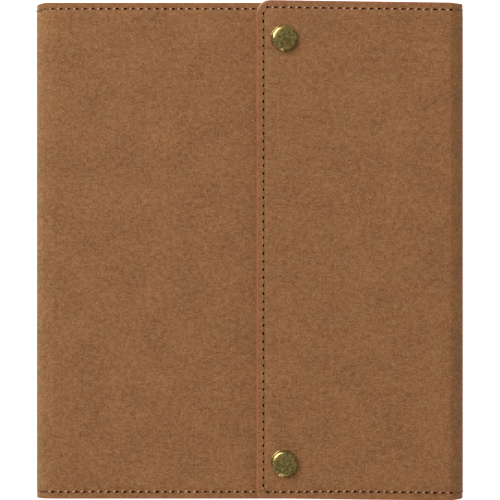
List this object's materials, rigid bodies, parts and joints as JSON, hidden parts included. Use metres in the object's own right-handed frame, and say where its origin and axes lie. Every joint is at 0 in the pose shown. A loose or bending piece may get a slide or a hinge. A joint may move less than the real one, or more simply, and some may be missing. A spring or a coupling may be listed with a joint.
{
  "type": "scrapbook album",
  "caption": "Ring-bound scrapbook album in kraft leather-paper, with a wrap-round flap closed by snap fasteners and punched card leaves.",
  "frame": {"origin": "middle of the back cover's outer face, under the closed album", "axes": "+Z out of the front cover, +Y to the head, +X from the spine to the fore-edge"},
  "size_m": [0.197, 0.2288, 0.0435],
  "materials": {
    "kraft_skin": "matt washable kraft paper, fibre mottled, sewn edges",
    "kraft_lining": "matt kraft lining",
    "grey_board": "raw grey binder's board",
    "antique_brass": "antiqued, mottled patina",
    "spring_steel": "plain spring wire",
    "nickel_steel": "nickel plate",
    "leaf_card": "uncoated kraft card"
  },
  "bodies": {
    "back_cover": {"back_skin": "kraft_skin", "back_board": "grey_board", "back_lining": "kraft_lining"},
    "spine": {"spine_skin": "kraft_skin", "spine_board": "grey_board", "spine_lining": "kraft_lining", "spine_back_fold": "kraft_skin", "spine_front_fold": "kraft_skin", "ring_housing": "nickel_steel", "rivet_head": "nickel_steel", "rivet_tail": "nickel_steel", "lever_pin_head": "nickel_steel", "lever_pin_tail": "nickel_steel"},
    "front_cover": {"front_skin": "kraft_skin", "front_board": "grey_board", "front_lining": "kraft_lining", "snap_stud_head": "antique_brass", "snap_stud_tail": "antique_brass", "snap_eyelet_head": "antique_brass", "snap_eyelet_tail": "antique_brass"},
    "fore_edge": {"fore_edge_skin": "kraft_skin", "fore_edge_board": "grey_board", "fore_edge_lining": "kraft_lining", "back_fore_edge_fold": "kraft_skin", "fore_edge_flap_fold": "kraft_skin"},
    "flap": {"flap_skin": "kraft_skin", "flap_board": "grey_board", "flap_lining": "kraft_lining", "snap_cap_head": "antique_brass", "snap_cap_tail": "antique_brass", "snap_socket_head": "antique_brass", "snap_socket_tail": "antique_brass", "snap_spring_head": "spring_steel", "snap_spring_tail": "spring_steel"},
    "rings_back": {"blade_back": "nickel_steel", "ring_1_back": "nickel_steel", "ring_2_back": "nickel_steel", "ring_3_back": "nickel_steel"},
    "rings_front": {"blade_front": "nickel_steel", "ring_1_front": "nickel_steel", "ring_2_front": "nickel_steel", "ring_3_front": "nickel_steel"},
    "lever_head": {"lever_head": "nickel_steel"},
    "lever_tail": {"lever_tail": "nickel_steel"},
    "leaf_1": {"leaf_1": "leaf_card"},
    "leaf_2": {"leaf_2": "leaf_card"},
    "leaf_3": {"leaf_3": "leaf_card"},
    "leaf_4": {"leaf_4": "leaf_card"},
    "leaf_5": {"leaf_5": "leaf_card"},
    "leaf_6": {"leaf_6": "leaf_card"},
    "leaf_7": {"leaf_7": "leaf_card"},
    "leaf_8": {"leaf_8": "leaf_card"}
  },
  "joints": [
    {"name": "spine_fold", "type": "hinge", "parent": "back_cover", "child": "spine", "pos_m": [-0.09764, 0, 0.00086], "axis": [0, -1, 0], "range_deg": [0, 90], "deforming": ["spine_back_fold"]},
    {"name": "front_fold", "type": "hinge", "parent": "spine", "child": "front_cover", "pos_m": [-0.09764, 0, 0.03334], "axis": [0, -1, 0], "range_deg": [0, 90], "deforming": ["spine_front_fold"]},
    {"name": "fore_edge_fold", "type": "hinge", "parent": "back_cover", "child": "fore_edge", "pos_m": [0.09764, 0, 0.00086], "axis": [0, 1, 0], "range_deg": [0, 90], "deforming": ["back_fore_edge_fold"]},
    {"name": "flap_fold", "type": "hinge", "parent": "fore_edge", "child": "flap", "pos_m": [0.09721, 0, 0.03911], "axis": [0, 1, 0], "range_deg": [0, 90], "deforming": ["fore_edge_flap_fold"]},
    {"name": "ring_opening", "type": "hinge", "parent": "spine", "child": "rings_front", "pos_m": [-0.0919, 0, 0.0251], "axis": [0, -1, 0], "range_deg": [0, 9]},
    {"name": "ring_opening_back", "type": "hinge", "parent": "spine", "child": "rings_back", "pos_m": [-0.0919, 0, 0.0091], "axis": [0, 1, 0], "range_deg": [0, 9]},
    {"name": "lever_head_swing", "type": "hinge", "parent": "spine", "child": "lever_head", "pos_m": [-0.0923, 0.1033, 0.0171], "axis": [0, 0, 1], "range_deg": [0, 17]},
    {"name": "lever_tail_swing", "type": "hinge", "parent": "spine", "child": "lever_tail", "pos_m": [-0.0923, -0.1033, 0.0171], "axis": [0, 0, -1], "range_deg": [0, 17]},
    {"name": "leaf_1_turn", "type": "hinge", "parent": "spine", "child": "leaf_1", "pos_m": [-0.08237, 0, 0.01546], "axis": [0, 1, 0], "range_deg": [0, 90]},
    {"name": "leaf_2_turn", "type": "hinge", "parent": "spine", "child": "leaf_2", "pos_m": [-0.0821, 0, 0.01572], "axis": [0, 1, 0], "range_deg": [0, 90]},
    {"name": "leaf_3_turn", "type": "hinge", "parent": "spine", "child": "leaf_3", "pos_m": [-0.08191, 0, 0.01594], "axis": [0, 1, 0], "range_deg": [0, 90]},
    {"name": "leaf_4_turn", "type": "hinge", "parent": "spine", "child": "leaf_4", "pos_m": [-0.0817, 0, 0.01611], "axis": [0, 1, 0], "range_deg": [0, 90]},
    {"name": "leaf_5_turn", "type": "hinge", "parent": "spine", "child": "leaf_5", "pos_m": [-0.0817, 0, 0.01809], "axis": [0, -1, 0], "range_deg": [0, 90]},
    {"name": "leaf_6_turn", "type": "hinge", "parent": "spine", "child": "leaf_6", "pos_m": [-0.08191, 0, 0.01826], "axis": [0, -1, 0], "range_deg": [0, 90]},
    {"name": "leaf_7_turn", "type": "hinge", "parent": "spine", "child": "leaf_7", "pos_m": [-0.0821, 0, 0.01847], "axis": [0, -1, 0], "range_deg": [0, 90]},
    {"name": "leaf_8_turn", "type": "hinge", "parent": "spine", "child": "leaf_8", "pos_m": [-0.08237, 0, 0.01874], "axis": [0, -1, 0], "range_deg": [0, 90]}
  ],
  "couplings": [
    {"joint": "front_fold", "follows": "spine_fold", "ratio": 1},
    {"joint": "ring_opening_back", "follows": "ring_opening", "ratio": 1},
    {"joint": "lever_head_swing", "follows": "ring_opening", "ratio": 1.8889},
    {"joint": "lever_tail_swing", "follows": "ring_opening", "ratio": 1.8889},
    {"joint": "leaf_1_turn", "follows": "spine_fold", "ratio": 1},
    {"joint": "leaf_2_turn", "follows": "spine_fold", "ratio": 1},
    {"joint": "leaf_3_turn", "follows": "spine_fold", "ratio": 1},
    {"joint": "leaf_4_turn", "follows": "spine_fold", "ratio": 1},
    {"joint": "leaf_5_turn", "follows": "spine_fold", "ratio": 1},
    {"joint": "leaf_6_turn", "follows": "spine_fold", "ratio": 1},
    {"joint": "leaf_7_turn", "follows": "spine_fold", "ratio": 1},
    {"joint": "leaf_8_turn", "follows": "spine_fold", "ratio": 1}
  ]
}
